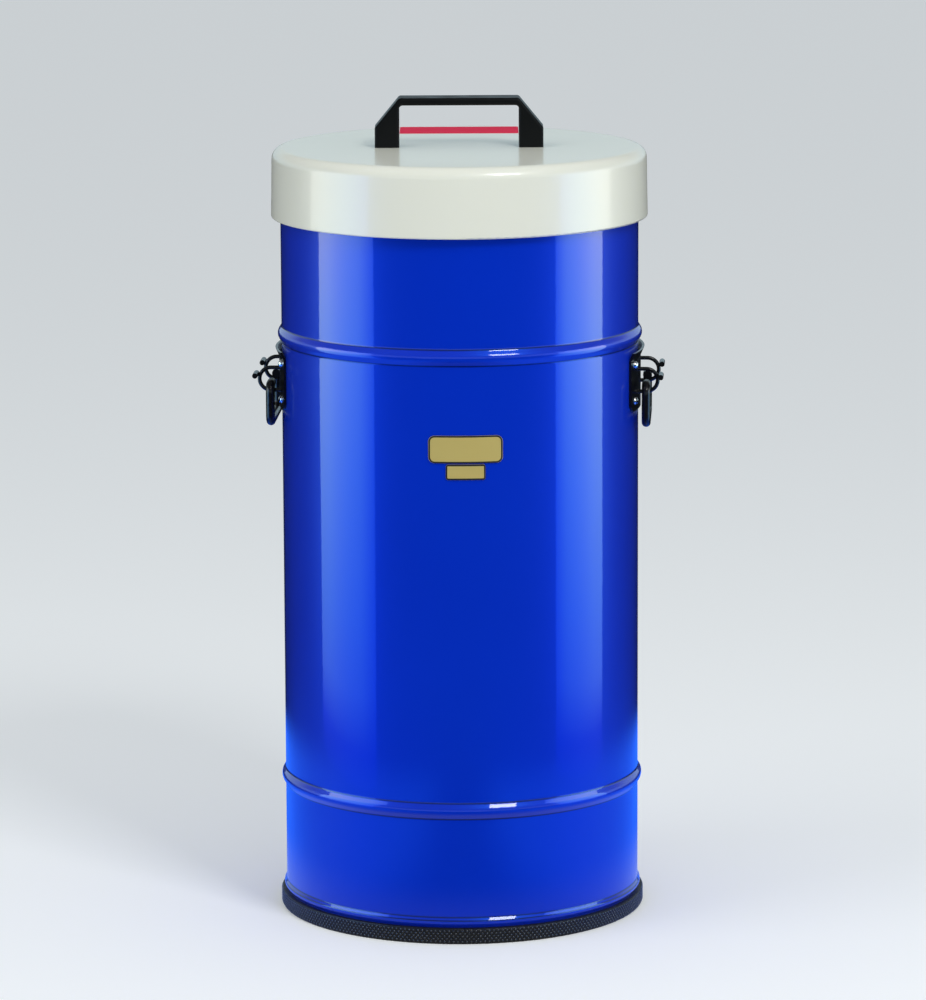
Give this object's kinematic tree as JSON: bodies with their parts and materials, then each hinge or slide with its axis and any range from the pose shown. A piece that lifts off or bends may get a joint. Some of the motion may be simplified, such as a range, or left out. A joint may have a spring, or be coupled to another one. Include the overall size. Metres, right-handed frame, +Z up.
{
  "type": "insulated dewar vessel",
  "caption": "Tall cylindrical insulated vessel with a beaded casing, a double-walled glass flask, a lift-off lid with a bow handle and drop handles at its sides.",
  "frame": {"origin": "centre of the foot, on the surface it stands on", "axes": "+Z up along the vessel's axis, -Y towards the plates on its front, +X and -X nearly towards its side handles, which sit 3 degrees round from there"},
  "size_m": [0.3362, 0.305, 0.666],
  "materials": {
    "blue_lacquer": "gloss",
    "black_lacquer": "satin",
    "edge_rubber": "matt",
    "bare_aluminium": "satin",
    "silvered_glass": "gloss",
    "foam": "matt",
    "grey_foam": "matt",
    "collar_plastic": "satin",
    "cream_plastic": "gloss",
    "liner_plastic": "satin",
    "black_plastic": "satin",
    "zinc_steel": "satin",
    "bright_rivet": "polished",
    "red_label": "satin",
    "gold_plate": "satin"
  },
  "bodies": {
    "casing": {"outer_shell": "blue_lacquer", "base_trim": "edge_rubber", "base_plate": "bare_aluminium", "glass_flask": "silvered_glass", "base_cushion": "foam", "centring_ring": "grey_foam", "neck_collar": "collar_plastic", "nameplate": "gold_plate", "rating_plate": "gold_plate", "right_handle_plate": "black_lacquer", "right_handle_rivets": "bright_rivet", "right_handle_staples": "black_lacquer", "left_handle_plate": "black_lacquer", "left_handle_rivets": "bright_rivet", "left_handle_staples": "black_lacquer"},
    "lid": {"lid_cover": "cream_plastic", "lid_foam": "foam", "lid_liner": "liner_plastic", "lid_handle": "black_plastic", "lid_handle_screws": "zinc_steel", "lid_handle_washers": "zinc_steel", "lid_label": "red_label"},
    "right_bail": {"right_handle_bail": "black_lacquer"},
    "left_bail": {"left_handle_bail": "black_lacquer"}
  },
  "joints": [
    {"name": "lid_lift", "type": "slide", "parent": "casing", "child": "lid", "axis": [0, 0, 1], "range_m": [0, 0.12]},
    {"name": "right_bail_swing", "type": "hinge", "parent": "casing", "child": "right_bail", "pos_m": [0.15184, -0.00796, 0.4357], "axis": [-0.0523, -0.9986, 0], "range_deg": [-5, 98]},
    {"name": "left_bail_swing", "type": "hinge", "parent": "casing", "child": "left_bail", "pos_m": [-0.15184, 0.00796, 0.4357], "axis": [0.0523, 0.9986, 0], "range_deg": [-5, 98]}
  ]
}
